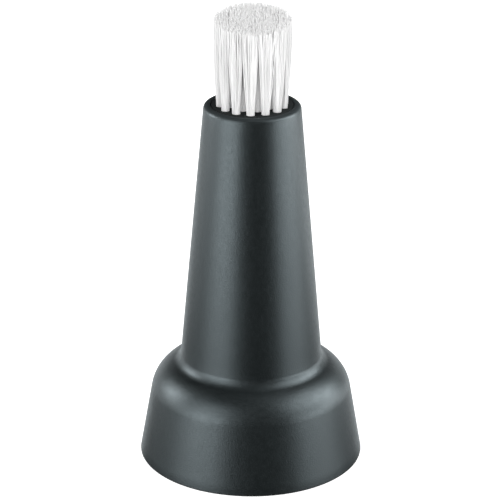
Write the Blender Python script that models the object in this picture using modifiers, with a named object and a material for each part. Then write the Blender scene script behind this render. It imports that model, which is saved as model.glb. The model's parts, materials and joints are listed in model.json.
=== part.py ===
"""Powered detail brush head of a cordless cleaning brush.

A conical housing with a bell skirt fits over the nose of a hand unit. Inside it a bearing carrier
holds a vertical drive shaft: the hand unit's hexagon spindle enters the socket at the bottom, and
the shaft turns the round brush plate with its bristle tufts in the mouth at the top.
Metres, +Z up, origin at the centre of the skirt's bottom edge. The joint axis is the Z axis.
"""

import math

import bmesh
import bpy
from mathutils import Matrix, Vector

# Fits shared by all pieces
SEAT_GAP = 0.0003
RUNNING_CLEARANCE = 0.0001
CUT_OVERRUN = 0.001
WELD_DISTANCE = 0.000001

# Facets round a full turn
HOUSING_STEPS = 56
CARRIER_STEPS = 36
PLATE_STEPS = 48
SMALL_STEPS = 24
SCREW_STEPS = 16
TUFT_STEPS = 8
CREASE_ANGLE = math.radians(35.0)

# Cone housing: outside outline and wall
HOUSING_HEIGHT = 0.09854
BASE_RADIUS = 0.0300
BASE_ROUNDING = 0.0003
SKIRT_HEIGHT = 0.01835
SKIRT_TAPER = math.radians(9.78)
SHOULDER_RADIUS = 0.01009
NECK_FILLET = 0.00339
NECK_TAPER = math.radians(5.045)
RIM_RADIUS = 0.01268
RIM_ROUNDING = 0.00118
RIM_WIDTH = 0.00173
LIP_DEPTH = 0.0060
LEDGE_DEPTH = 0.0005
HOUSING_WALL = 0.0020
BOSS_RADIUS = 0.0030

# Bearing carrier: flange and nose collar at the bottom, bearing tube above
FLANGE_DROP = 0.00485
FLANGE_THICKNESS = 0.0030
CARRIER_WALL = 0.0018
CENTRING_DISC_THICKNESS = 0.0025
CENTRING_DISC_DROP = 0.0025
SCREW_LAND_WIDTH = 0.00833
COLLAR_WALL = 0.0020
COLLAR_DEPTH = 0.0085
COLLAR_LEAD = 0.0008
KEY_NOTCH_COUNT = 3
KEY_NOTCH_WIDTH = 0.0040
KEY_NOTCH_DEPTH = 0.0026

# Carrier screws
SCREW_COUNT = 3
SCREW_RADIUS = 0.00125
SCREW_LENGTH = 0.0085
SCREW_TIP = 0.0010
SCREW_HEAD_RADIUS = 0.0024
SCREW_HEAD_HEIGHT = 0.0017
SCREW_RECESS_WIDTH = 0.0007
SCREW_RECESS_DEPTH = 0.0009

# Drive shaft, bushes, washers, circlip and seal
SHAFT_RADIUS = 0.0030
SHAFT_CHAMFER = 0.0004
SHAFT_RELIEF = 0.0016
BUSH_WALL = 0.0019
BUSH_LENGTH = 0.0080
BUSH_CHAMFER = 0.0004
WASHER_THICKNESS = 0.0008
UPPER_WASHER_WIDTH = 0.0018
LOWER_WASHER_WIDTH = 0.0029
CIRCLIP_THICKNESS = 0.0010
CIRCLIP_WIDTH = 0.0019
CIRCLIP_OPENING = math.radians(70.0)
CIRCLIP_GROOVE_DEPTH = 0.0005
SEAL_RADIUS = 0.0067
SEAL_HEIGHT = 0.0040
SEAL_BODY_WIDTH = 0.0014
SEAL_WEB = 0.0010
SEAL_LIP_WIDTH = 0.0009

# Drive socket and the two cross pins
SOCKET_RADIUS = 0.0072
SOCKET_CLEARANCE = 0.0004
SOCKET_INSET = 0.0005
SOCKET_SIDES = 6
SOCKET_FLATS = 0.0090
SOCKET_DEPTH = 0.0110
SOCKET_WEB = 0.0010
SOCKET_LEAD = 0.0006
SHAFT_SEAT_DEPTH = 0.0080
PIN_RADIUS = 0.0010
PIN_CHAMFER = 0.0002

# Brush plate
PLATE_CLEARANCE = 0.00035
PLATE_THICKNESS = 0.0080
PLATE_CHAMFER = 0.0003
HUB_WALL = 0.0025
HUB_LENGTH = 0.0080
HUB_RUNNING_GAP = 0.0010
SHAFT_CROWN = 0.0012

# Bristle tufts
TUFT_FIT = 0.0002
TUFT_HOLE_DEPTH = 0.0060
TUFT_RECESS = 0.0003
TUFT_EDGE_WEB = 0.0009
TUFT_HOLE_SHARE = 0.1412
TUFT_COUNTS = (14, 9, 4)
CENTRE_RING_SHARE = 0.2824
FIRST_TUFT_ANGLES = (math.radians(-93.0), math.radians(-76.0), math.radians(-45.0))
BRISTLE_LENGTH = 0.0242
TRIM_SCATTER = 0.0004
STRAND_SIDES = 3
STRAND_RADIUS_SHARE = 0.22
STRAND_RING_COUNTS = (1, 4, 9)
STRAND_RING_SHARES = (0.0, 0.5, 1.0)
STRAND_ROOT = 0.0005
STRAND_TAPER_SHARE = 0.85
TIP_GAP = 0.0001
TIP_FLARE_SHARE = 0.02

# Retaining ring and nose gasket
RING_WIRE_RADIUS = 0.0007
RING_GROOVE_DEPTH = 0.0008
RING_OPENING = math.radians(30.0)
RING_LIFT = 0.0040
RING_POINTS = 36
GASKET_WIDTH = 0.0030
GASKET_THICKNESS = 0.0015
GASKET_CHAMFER = 0.0003

# Heights that follow from the sizes above, bottom to top
flange_bottom = SKIRT_HEIGHT - FLANGE_DROP
flange_top = flange_bottom + FLANGE_THICKNESS
collar_bottom = flange_bottom - COLLAR_DEPTH
ring_height = collar_bottom + RING_LIFT
socket_bottom = flange_bottom + SOCKET_INSET
shaft_bottom = socket_bottom + SOCKET_DEPTH + SOCKET_WEB + SEAT_GAP
socket_top = shaft_bottom - SEAT_GAP + SHAFT_SEAT_DEPTH
socket_pin_height = socket_top - SHAFT_SEAT_DEPTH / 2
lower_washer_bottom = socket_top + SEAT_GAP
lower_bush_bottom = lower_washer_bottom + WASHER_THICKNESS + SEAT_GAP
lower_bush_seat = lower_bush_bottom + BUSH_LENGTH + SEAT_GAP

plate_bottom = HOUSING_HEIGHT - PLATE_THICKNESS
hub_bottom = plate_bottom - HUB_LENGTH
tuft_floor = HOUSING_HEIGHT - TUFT_HOLE_DEPTH
plate_pin_height = hub_bottom + HUB_LENGTH / 2
shaft_bore_top = tuft_floor - SHAFT_CROWN
shaft_top = shaft_bore_top - SEAT_GAP
carrier_top = hub_bottom - HUB_RUNNING_GAP
seal_bottom = carrier_top - SEAT_GAP - SEAL_HEIGHT
seal_floor = seal_bottom - SEAT_GAP
circlip_bottom = seal_floor - SEAT_GAP - CIRCLIP_THICKNESS
upper_washer_bottom = circlip_bottom - SEAT_GAP - WASHER_THICKNESS
upper_bush_bottom = upper_washer_bottom - SEAT_GAP - BUSH_LENGTH
upper_bush_seat = upper_bush_bottom - SEAT_GAP

# Radii that follow from the sizes above
mouth_radius = RIM_RADIUS - RIM_WIDTH
plate_radius = mouth_radius - PLATE_CLEARANCE
outer_ring_radius = (plate_radius - TUFT_EDGE_WEB) / (1 + TUFT_HOLE_SHARE)
ring_step = outer_ring_radius * (1 - CENTRE_RING_SHARE) / (len(TUFT_COUNTS) - 1)
bore_radius = SHAFT_RADIUS + RUNNING_CLEARANCE
bush_radius = bore_radius + BUSH_WALL
bush_pocket_radius = bush_radius + SEAT_GAP
relief_radius = SHAFT_RADIUS + SHAFT_RELIEF
seal_pocket_radius = SEAL_RADIUS + SEAT_GAP
socket_bore_radius = SOCKET_RADIUS + SOCKET_CLEARANCE
hub_radius = bore_radius + HUB_WALL
pin_hole_radius = PIN_RADIUS + RUNNING_CLEARANCE
tuft_hole_radius = outer_ring_radius * TUFT_HOLE_SHARE
tuft_radius = tuft_hole_radius - TUFT_FIT
tuft_corner_radius = tuft_radius / math.cos(math.pi / TUFT_STEPS)
tuft_hole_corner_radius = tuft_hole_radius / math.cos(math.pi / TUFT_STEPS)
strand_radius = tuft_radius * STRAND_RADIUS_SHARE


def polar(centre, radius, angle):
    """The point of a half section at this distance and angle from a centre."""
    return (centre[0] + radius * math.cos(angle), centre[1] + radius * math.sin(angle))


def arc(centre, radius, start, end, steps):
    """Points of a half section along an arc, both ends included."""
    return [
        polar(centre, radius, start + (end - start) * i / steps) for i in range(steps + 1)
    ]


def line_reach(radius, height, taper):
    """How far out a wall line lies along its own normal, from one point on it."""
    return radius * math.cos(taper) + height * math.sin(taper)


neck_reach = line_reach(RIM_RADIUS, HOUSING_HEIGHT, NECK_TAPER)
skirt_reach = line_reach(BASE_RADIUS, 0.0, SKIRT_TAPER)


def neck_radius(height, inset):
    """The neck wall's radius at a height, this far inside its outer face."""
    return (neck_reach - inset - height * math.sin(NECK_TAPER)) / math.cos(NECK_TAPER)


def skirt_radius(height, inset):
    """The skirt wall's radius at a height, this far inside its outer face."""
    return (skirt_reach - inset - height * math.sin(SKIRT_TAPER)) / math.cos(SKIRT_TAPER)


flange_radius = skirt_radius(flange_top, HOUSING_WALL) - SEAT_GAP
collar_radius = flange_radius - SCREW_LAND_WIDTH
nose_radius = collar_radius - COLLAR_WALL
ring_groove_radius = nose_radius + RING_GROOVE_DEPTH
screw_circle_radius = (flange_radius + collar_radius) / 2

parts = bpy.data.collections.new("detail_brush_head")
cutters = bpy.data.collections.new("cutters")


def start_scene():
    """Clear the scene and link the two collections."""
    for old in list(bpy.data.objects):
        bpy.data.objects.remove(old, do_unlink=True)
    bpy.context.scene.collection.children.link(parts)
    bpy.context.scene.collection.children.link(cutters)


def material(name, colour, roughness, metallic=0.0):
    """A plain finish for one piece."""
    made = bpy.data.materials.new(name)
    made.use_nodes = True
    shader = made.node_tree.nodes["Principled BSDF"]
    shader.inputs["Base Color"].default_value = (*colour, 1.0)
    shader.inputs["Roughness"].default_value = roughness
    shader.inputs["Metallic"].default_value = metallic
    return made


def object_from(name, mesh, collection=parts):
    """A new object that holds this mesh."""
    made = bpy.data.objects.new(name, mesh)
    collection.objects.link(made)
    return made


def applied_mesh(source):
    """The source's mesh with its modifiers in it, smooth with crisp edges."""
    bpy.context.view_layer.update()
    graph = bpy.context.evaluated_depsgraph_get()
    mesh = bpy.data.meshes.new_from_object(source.evaluated_get(graph))
    mesh.shade_smooth()
    mesh.set_sharp_from_angle(angle=CREASE_ANGLE)
    return mesh


def apply_modifiers(piece):
    """Put the modifiers' result into the piece's own mesh."""
    mesh = applied_mesh(piece)
    piece.modifiers.clear()
    piece.data = mesh
    return piece


def turned(name, section, steps, closed=True, collection=parts):
    """A half section turned round the Z axis. It runs down its outer side and back up its bore."""
    mesh = bpy.data.meshes.new(name)
    edges = [(i, i + 1) for i in range(len(section) - 1)]
    if closed:
        edges.append((len(section) - 1, 0))
    mesh.from_pydata([(radius, 0.0, height) for radius, height in section], edges, [])
    piece = object_from(name, mesh, collection)
    screw = piece.modifiers.new("turn", "SCREW")
    screw.steps = steps
    screw.render_steps = steps
    screw.use_merge_vertices = True
    screw.merge_threshold = WELD_DISTANCE
    return apply_modifiers(piece)


def ring_section(inner, outer, height, chamfer=0.0):
    """The closed half section of a ring standing on height zero, its outer edges chamfered."""
    if chamfer == 0.0:
        return [(inner, height), (outer, height), (outer, 0.0), (inner, 0.0)]
    return [
        (inner, height),
        (outer - chamfer, height),
        (outer, height - chamfer),
        (outer, chamfer),
        (outer - chamfer, 0.0),
        (inner, 0.0),
    ]


def rod_section(radius, bottom, top, chamfer):
    """The open half section of a rod with chamfered ends, from axis to axis."""
    return [
        (0.0, top),
        (radius - chamfer, top),
        (radius, top - chamfer),
        (radius, bottom + chamfer),
        (radius - chamfer, bottom),
        (0.0, bottom),
    ]


def cutter_mesh(name, build):
    """A cutter whose closed shapes are added to a bmesh by the function given."""
    shape = bmesh.new()
    build(shape)
    mesh = bpy.data.meshes.new(name)
    shape.to_mesh(mesh)
    shape.free()
    cutter = object_from(name, mesh, cutters)
    hide(cutter)
    return cutter


def hide(cutter):
    """Show a cutter as wire only, and keep it out of the part."""
    cutter.hide_render = True
    cutter.display_type = "WIRE"


def add_rod(shape, matrix, radius, length, steps, end_radius=None):
    """Add a closed rod or frustum, centred on its middle, to a bmesh."""
    bmesh.ops.create_cone(
        shape,
        cap_ends=True,
        segments=steps,
        radius1=radius,
        radius2=radius if end_radius is None else end_radius,
        depth=length,
        matrix=matrix,
    )


def add_block(shape, matrix, size):
    """Add a closed block of this size to a bmesh."""
    bmesh.ops.create_cube(shape, size=1.0, matrix=matrix @ Matrix.Diagonal((*size, 1.0)))


def upright(radius, angle, bottom, top):
    """The matrix and length of an upright rod between two heights, off the axis."""
    middle = Vector((radius * math.cos(angle), radius * math.sin(angle), (bottom + top) / 2))
    return Matrix.Translation(middle), top - bottom


def combine(piece, other, operation):
    """Cut, join or intersect a piece, live, with another object that moves with it."""
    other.parent = piece
    boolean = piece.modifiers.new(operation.lower(), "BOOLEAN")
    boolean.operation = operation
    boolean.solver = "EXACT"
    boolean.object = other


def place(piece, parent, finish, height=0.0, angle=0.0):
    """Stand a piece on its parent's axis and give it its finish."""
    piece.parent = parent
    piece.location.z = height
    piece.rotation_euler.z = angle
    if not piece.data.materials:
        piece.data.materials.append(finish)
    return piece


def turns(count, start=0.0):
    """The angles of a pattern spaced evenly round the axis."""
    return [start + math.tau * i / count for i in range(count)]


# The housing's wall


def wall_outline(inset, fillet_steps, shoulder_steps):
    """The wall's section from the foot of the neck to the end of the shoulder, at this inset."""
    skirt_top = (skirt_radius(SKIRT_HEIGHT, 0.0), SKIRT_HEIGHT)
    shoulder_centre = polar(skirt_top, -SHOULDER_RADIUS, SKIRT_TAPER)
    both_radii = SHOULDER_RADIUS + NECK_FILLET
    spread = neck_reach + NECK_FILLET - line_reach(*shoulder_centre, NECK_TAPER)
    turn = NECK_TAPER + math.acos(spread / both_radii)
    fillet_centre = polar(shoulder_centre, both_radii, turn)
    fillet = arc(fillet_centre, -NECK_FILLET - inset, NECK_TAPER, turn, fillet_steps)
    shoulder = arc(shoulder_centre, SHOULDER_RADIUS - inset, turn, SKIRT_TAPER, shoulder_steps)
    return fillet + shoulder[1:]


def corner_arc(reach, taper, rounding, height, end, steps):
    """The rounded corner between a wall line and the flat face at this height."""
    side = math.copysign(rounding, end)
    centre_height = height - side
    centre_radius = (reach - rounding - centre_height * math.sin(taper)) / math.cos(taper)
    return arc((centre_radius, centre_height), rounding, taper, end, steps)


def make_cone_housing(base, finish):
    """Shell with a conical neck, shoulder and bell skirt, and three screw bosses inside."""
    quarter = math.pi / 2
    rim = corner_arc(neck_reach, NECK_TAPER, RIM_ROUNDING, HOUSING_HEIGHT, quarter, 3)
    foot = corner_arc(skirt_reach, SKIRT_TAPER, BASE_ROUNDING, 0.0, -quarter, 2)
    lip_bottom = HOUSING_HEIGHT - LIP_DEPTH
    ledge = lip_bottom - LEDGE_DEPTH
    outside = list(reversed(rim)) + wall_outline(0.0, 4, 8) + foot
    inside = [
        (mouth_radius, HOUSING_HEIGHT),
        (mouth_radius, lip_bottom),
        (neck_radius(ledge, HOUSING_WALL), ledge),
        *wall_outline(HOUSING_WALL, 3, 5),
        (skirt_radius(0.0, HOUSING_WALL), 0.0),
    ]
    housing = turned("cone_housing", outside + list(reversed(inside)), HOUSING_STEPS)

    half_wall = HOUSING_WALL / 2
    core_top = HOUSING_HEIGHT - LIP_DEPTH
    core = turned(
        "boss_limit",
        [
            (0.0, core_top),
            (neck_radius(core_top, half_wall), core_top),
            *wall_outline(half_wall, 3, 5),
            (skirt_radius(0.0, half_wall), 0.0),
            (0.0, 0.0),
        ],
        HOUSING_STEPS,
        closed=False,
        collection=cutters,
    )
    hide(core)
    boss_bottom = flange_top + SEAT_GAP
    shoulder_top = SKIRT_HEIGHT + SHOULDER_RADIUS

    def bosses(shape):
        for angle in turns(SCREW_COUNT):
            matrix, length = upright(screw_circle_radius, angle, boss_bottom, shoulder_top)
            add_rod(shape, matrix, BOSS_RADIUS, length, SCREW_STEPS)

    def pilots(shape):
        pilot_top = flange_bottom + SCREW_LENGTH + SEAT_GAP
        for angle in turns(SCREW_COUNT):
            matrix, length = upright(
                screw_circle_radius, angle, boss_bottom - CUT_OVERRUN, pilot_top
            )
            add_rod(shape, matrix, SCREW_RADIUS + SEAT_GAP, length, SCREW_STEPS)

    boss_shapes = cutter_mesh("boss_shapes", bosses)
    combine(boss_shapes, core, "INTERSECT")
    combine(housing, boss_shapes, "UNION")
    combine(housing, cutter_mesh("pilot_holes", pilots), "DIFFERENCE")
    place(housing, base, finish)


# The static pieces inside


def make_bearing_carrier(base, finish):
    """Turned moulding: nose collar, screwed flange, bearing tube with its pockets, centring disc."""
    head_radius = seal_pocket_radius + CARRIER_WALL
    tube_radius = bush_pocket_radius + CARRIER_WALL
    socket_wall_radius = socket_bore_radius + CARRIER_WALL
    head_bottom = seal_floor - CARRIER_WALL
    cone_top = head_bottom - (head_radius - tube_radius)
    disc_top = cone_top - CENTRING_DISC_DROP
    disc_bottom = disc_top - CENTRING_DISC_THICKNESS
    tube_bottom = lower_bush_bottom + CARRIER_WALL + (socket_wall_radius - tube_radius)
    ring_half = RING_WIRE_RADIUS + SEAT_GAP
    outside = [
        (seal_pocket_radius, carrier_top),
        (head_radius, carrier_top),
        (head_radius, head_bottom),
        (tube_radius, cone_top),
        (tube_radius, disc_top),
        (neck_radius(disc_top, HOUSING_WALL) - SEAT_GAP, disc_top),
        (neck_radius(disc_bottom, HOUSING_WALL) - SEAT_GAP, disc_bottom),
        (tube_radius, disc_bottom),
        (tube_radius, tube_bottom),
        (socket_wall_radius, lower_bush_bottom + CARRIER_WALL),
        (socket_wall_radius, flange_top),
        (flange_radius, flange_top),
        (flange_radius, flange_bottom),
        (collar_radius, flange_bottom),
        (collar_radius, collar_bottom),
    ]
    inside = [
        (nose_radius + COLLAR_LEAD, collar_bottom),
        (nose_radius, collar_bottom + COLLAR_LEAD),
        (nose_radius, ring_height - ring_half),
        (ring_groove_radius, ring_height - ring_half),
        (ring_groove_radius, ring_height + ring_half),
        (nose_radius, ring_height + ring_half),
        (nose_radius, flange_bottom),
        (socket_bore_radius, flange_bottom),
        (socket_bore_radius, lower_bush_bottom),
        (bush_pocket_radius, lower_bush_bottom),
        (bush_pocket_radius, lower_bush_seat),
        (relief_radius, lower_bush_seat),
        (relief_radius, upper_bush_seat),
        (bush_pocket_radius, upper_bush_seat),
        (bush_pocket_radius, seal_floor),
        (seal_pocket_radius, seal_floor),
    ]
    carrier = turned("bearing_carrier", outside + inside, CARRIER_STEPS)

    def screw_holes(shape):
        for angle in turns(SCREW_COUNT):
            matrix, length = upright(
                screw_circle_radius, angle, flange_bottom - CUT_OVERRUN, flange_top + CUT_OVERRUN
            )
            add_rod(shape, matrix, SCREW_RADIUS + SEAT_GAP, length, SCREW_STEPS)

    def key_notches(shape):
        reach = COLLAR_WALL + 2 * CUT_OVERRUN
        height = KEY_NOTCH_DEPTH + CUT_OVERRUN
        centre_height = collar_bottom + KEY_NOTCH_DEPTH - height / 2
        for angle in turns(KEY_NOTCH_COUNT, math.pi / KEY_NOTCH_COUNT):
            matrix = Matrix.Rotation(angle, 4, "Z") @ Matrix.Translation(
                (nose_radius + COLLAR_WALL / 2, 0.0, centre_height)
            )
            add_block(shape, matrix, (reach, KEY_NOTCH_WIDTH, height))

    combine(carrier, cutter_mesh("flange_holes", screw_holes), "DIFFERENCE")
    combine(carrier, cutter_mesh("key_notches", key_notches), "DIFFERENCE")
    place(carrier, base, finish)


def make_carrier_screws(base, finish):
    """Cross-recessed pan head screws, heads under the flange. Height zero is under the head."""
    chamfer = SCREW_HEAD_HEIGHT / 3
    section = [
        (0.0, SCREW_LENGTH),
        (SCREW_RADIUS / 3, SCREW_LENGTH),
        (SCREW_RADIUS, SCREW_LENGTH - SCREW_TIP),
        (SCREW_RADIUS, 0.0),
        (SCREW_HEAD_RADIUS, 0.0),
        (SCREW_HEAD_RADIUS, chamfer - SCREW_HEAD_HEIGHT),
        (SCREW_HEAD_RADIUS - chamfer, -SCREW_HEAD_HEIGHT),
        (0.0, -SCREW_HEAD_HEIGHT),
    ]

    height = SCREW_RECESS_DEPTH + CUT_OVERRUN
    recess = Matrix.Translation((0.0, 0.0, SCREW_RECESS_DEPTH - SCREW_HEAD_HEIGHT - height / 2))
    pattern = turned("screw_pattern", section, SCREW_STEPS, closed=False, collection=cutters)
    hide(pattern)

    def slot(shape):
        add_block(shape, recess, (SCREW_HEAD_RADIUS, SCREW_RECESS_WIDTH, height))

    def cross_slot(shape):
        add_block(shape, recess, (SCREW_RECESS_WIDTH, SCREW_HEAD_RADIUS, height))

    combine(pattern, cutter_mesh("recess_slot", slot), "DIFFERENCE")
    combine(pattern, cutter_mesh("recess_cross_slot", cross_slot), "DIFFERENCE")
    mesh = applied_mesh(pattern)
    for number, angle in enumerate(turns(SCREW_COUNT), 1):
        screw = place(object_from(f"carrier_screw_{number}", mesh), base, finish)
        screw.location = (
            screw_circle_radius * math.cos(angle),
            screw_circle_radius * math.sin(angle),
            flange_bottom - SEAT_GAP,
        )
        screw.rotation_euler.z = angle


def make_bushes(base, finish):
    """Two plain bushes for the shaft, one in each pocket of the carrier."""
    section = ring_section(bore_radius, bush_radius, BUSH_LENGTH, BUSH_CHAMFER)
    for name, height in (("lower_bush", lower_bush_bottom), ("upper_bush", upper_bush_bottom)):
        place(turned(name, section, SMALL_STEPS), base, finish, height)


def make_shaft_seal(base, finish):
    """Lip seal: an outer ring, a web at its bottom and a lip that leans up along the shaft."""
    lip_outer = bore_radius + SEAL_LIP_WIDTH
    body_inner = SEAL_RADIUS - SEAL_BODY_WIDTH
    lip_top = SEAL_HEIGHT - SEAL_WEB
    section = [
        (body_inner, SEAL_HEIGHT),
        (SEAL_RADIUS, SEAL_HEIGHT),
        (SEAL_RADIUS, 0.0),
        (lip_outer, 0.0),
        (bore_radius, SEAL_WEB),
        (bore_radius, lip_top),
        (bore_radius + SEAL_LIP_WIDTH / 2, lip_top),
        (lip_outer, SEAL_WEB),
        (body_inner, SEAL_WEB),
    ]
    place(turned("shaft_seal", section, SMALL_STEPS), base, finish, seal_bottom)


def make_retaining_ring(base, finish):
    """Open ring of spring wire in the collar's groove."""
    curve = bpy.data.curves.new("retaining_ring", "CURVE")
    curve.dimensions = "3D"
    curve.bevel_depth = RING_WIRE_RADIUS
    curve.bevel_resolution = 1
    curve.use_fill_caps = True
    spline = curve.splines.new("POLY")
    spline.points.add(RING_POINTS - 1)
    radius = ring_groove_radius - SEAT_GAP - RING_WIRE_RADIUS
    sweep = math.tau - RING_OPENING
    for i, point in enumerate(spline.points):
        angle = RING_OPENING / 2 + sweep * i / (RING_POINTS - 1)
        point.co = (radius * math.cos(angle), radius * math.sin(angle), 0.0, 1.0)
    ring = bpy.data.objects.new("retaining_ring", curve)
    parts.objects.link(ring)
    place(ring, base, finish, ring_height)


def make_nose_gasket(base, finish):
    """Rubber ring under the flange, inside the collar."""
    outer = nose_radius - SEAT_GAP
    section = ring_section(outer - GASKET_WIDTH, outer, GASKET_THICKNESS, GASKET_CHAMFER)
    height = flange_bottom - SEAT_GAP - GASKET_THICKNESS
    place(turned("nose_gasket", section, CARRIER_STEPS), base, finish, height)


# The turning pieces


def make_drive_shaft(axis, finish):
    """Steel shaft with a circlip groove and two cross holes."""
    groove_radius = SHAFT_RADIUS - CIRCLIP_GROOVE_DEPTH
    groove_bottom = circlip_bottom - RUNNING_CLEARANCE
    groove_top = circlip_bottom + CIRCLIP_THICKNESS + RUNNING_CLEARANCE
    ends = rod_section(SHAFT_RADIUS, shaft_bottom, shaft_top, SHAFT_CHAMFER)
    groove = [
        (SHAFT_RADIUS, groove_top),
        (groove_radius, groove_top),
        (groove_radius, groove_bottom),
        (SHAFT_RADIUS, groove_bottom),
    ]
    section = ends[:3] + groove + ends[3:]
    shaft = turned("drive_shaft", section, SMALL_STEPS, closed=False)

    def cross_holes(shape):
        for height in (socket_pin_height, plate_pin_height):
            matrix = Matrix.Translation((0.0, 0.0, height)) @ Matrix.Rotation(math.pi / 2, 4, "X")
            add_rod(shape, matrix, pin_hole_radius, 2 * (SHAFT_RADIUS + CUT_OVERRUN), SCREW_STEPS)

    combine(shaft, cutter_mesh("shaft_cross_holes", cross_holes), "DIFFERENCE")
    place(shaft, axis, finish)


def make_drive_socket(axis, finish):
    """Sleeve with a hexagon socket below, for the hand unit's spindle, and the shaft's seat above."""
    height = socket_top - socket_bottom
    section = rod_section(SOCKET_RADIUS, 0.0, height, SHAFT_CHAMFER)
    socket = turned("drive_socket", section, PLATE_STEPS, closed=False)
    corner_radius = SOCKET_FLATS / 2 / math.cos(math.pi / SOCKET_SIDES)
    flat_turn = Matrix.Rotation(math.pi / SOCKET_SIDES, 4, "Z")

    def hollows(shape):
        matrix, length = upright(0.0, 0.0, -CUT_OVERRUN, SOCKET_DEPTH)
        add_rod(shape, matrix @ flat_turn, corner_radius, length, SOCKET_SIDES)
        matrix, length = upright(0.0, 0.0, height - SHAFT_SEAT_DEPTH, height + CUT_OVERRUN)
        add_rod(shape, matrix, bore_radius, length, SMALL_STEPS)

    def lead_in(shape):
        matrix, length = upright(0.0, 0.0, -CUT_OVERRUN, SOCKET_LEAD)
        widest = corner_radius + SOCKET_LEAD + CUT_OVERRUN
        add_rod(shape, matrix @ flat_turn, widest, length, SOCKET_SIDES, corner_radius)

    def pin_hole(shape):
        matrix = Matrix.Translation((0.0, 0.0, socket_pin_height - socket_bottom))
        matrix = matrix @ Matrix.Rotation(math.pi / 2, 4, "X")
        add_rod(shape, matrix, pin_hole_radius, 2 * (SOCKET_RADIUS + CUT_OVERRUN), SCREW_STEPS)

    combine(socket, cutter_mesh("socket_hollows", hollows), "DIFFERENCE")
    combine(socket, cutter_mesh("socket_lead_in", lead_in), "DIFFERENCE")
    combine(socket, cutter_mesh("socket_pin_hole", pin_hole), "DIFFERENCE")
    place(socket, axis, finish, socket_bottom)


def make_cross_pins(axis, finish):
    """A pin through the socket and one through the plate's hub, each a little short of the surface."""
    for name, height, outer in (
        ("socket_pin", socket_pin_height, SOCKET_RADIUS),
        ("plate_pin", plate_pin_height, hub_radius),
    ):
        half = outer - SEAT_GAP
        section = rod_section(PIN_RADIUS, -half, half, PIN_CHAMFER)
        pin = turned(name, section, SCREW_STEPS, closed=False)
        pin.rotation_euler.x = math.pi / 2
        place(pin, axis, finish, height)


def make_washers(axis, finish):
    """Thrust washers: one between socket and lower bush, one between upper bush and circlip."""
    for name, height, width in (
        ("lower_thrust_washer", lower_washer_bottom, LOWER_WASHER_WIDTH),
        ("upper_thrust_washer", upper_washer_bottom, UPPER_WASHER_WIDTH),
    ):
        section = ring_section(bore_radius, bore_radius + width, WASHER_THICKNESS)
        place(turned(name, section, SMALL_STEPS), axis, finish, height)


def make_shaft_circlip(axis, finish):
    """Open flat ring in the shaft's groove."""
    inner = SHAFT_RADIUS - CIRCLIP_GROOVE_DEPTH + RUNNING_CLEARANCE
    outer = inner + CIRCLIP_WIDTH
    start = CIRCLIP_OPENING / 2
    end = math.tau - start
    outline = arc((0.0, 0.0), outer, start, end, SMALL_STEPS)
    outline += arc((0.0, 0.0), inner, end, start, SMALL_STEPS)
    curve = bpy.data.curves.new("shaft_circlip", "CURVE")
    curve.dimensions = "2D"
    curve.fill_mode = "BOTH"
    curve.extrude = CIRCLIP_THICKNESS / 2
    spline = curve.splines.new("POLY")
    spline.points.add(len(outline) - 1)
    spline.use_cyclic_u = True
    for point, (x, y) in zip(spline.points, outline):
        point.co = (x, y, 0.0, 1.0)
    clip = bpy.data.objects.new("shaft_circlip", curve)
    parts.objects.link(clip)
    place(clip, axis, finish, circlip_bottom + CIRCLIP_THICKNESS / 2)


def tuft_rings():
    """Each ring's letter, radius and tuft angles, from the outer ring inwards."""
    rings = []
    for ring, (count, first) in enumerate(zip(TUFT_COUNTS, FIRST_TUFT_ANGLES)):
        radius = outer_ring_radius - ring * ring_step
        rings.append((chr(ord("a") + ring), radius, turns(count, first)))
    return rings


def make_brush_plate(axis, finish):
    """Round plate with a blind hole for each tuft, and a hub with the shaft's bore below."""
    section = [
        (0.0, HOUSING_HEIGHT),
        (plate_radius - PLATE_CHAMFER, HOUSING_HEIGHT),
        (plate_radius, HOUSING_HEIGHT - PLATE_CHAMFER),
        (plate_radius, plate_bottom),
        (hub_radius, plate_bottom),
        (hub_radius, hub_bottom),
        (bore_radius, hub_bottom),
        (bore_radius, shaft_bore_top),
        (0.0, shaft_bore_top),
    ]
    plate = turned("brush_plate", section, PLATE_STEPS, closed=False)

    def tuft_holes(shape):
        for _, radius, angles in tuft_rings():
            for angle in angles:
                matrix, length = upright(radius, angle, tuft_floor, HOUSING_HEIGHT + CUT_OVERRUN)
                matrix = matrix @ Matrix.Rotation(angle, 4, "Z")
                add_rod(shape, matrix, tuft_hole_corner_radius, length, TUFT_STEPS)

    def pin_hole(shape):
        matrix = Matrix.Translation((0.0, 0.0, plate_pin_height)) @ Matrix.Rotation(math.pi / 2, 4, "X")
        add_rod(shape, matrix, pin_hole_radius, 2 * (hub_radius + CUT_OVERRUN), SCREW_STEPS)

    combine(plate, cutter_mesh("tuft_holes", tuft_holes), "DIFFERENCE")
    combine(plate, cutter_mesh("plate_pin_hole", pin_hole), "DIFFERENCE")
    place(plate, axis, finish)


def strand_roots():
    """Where each strand of a tuft stands, as shares of the tuft's radius across and along."""
    roots = []
    for count, share in zip(STRAND_RING_COUNTS, STRAND_RING_SHARES):
        for angle in turns(count):
            roots.append((share * math.cos(angle), share * math.sin(angle)))
    return roots


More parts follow.
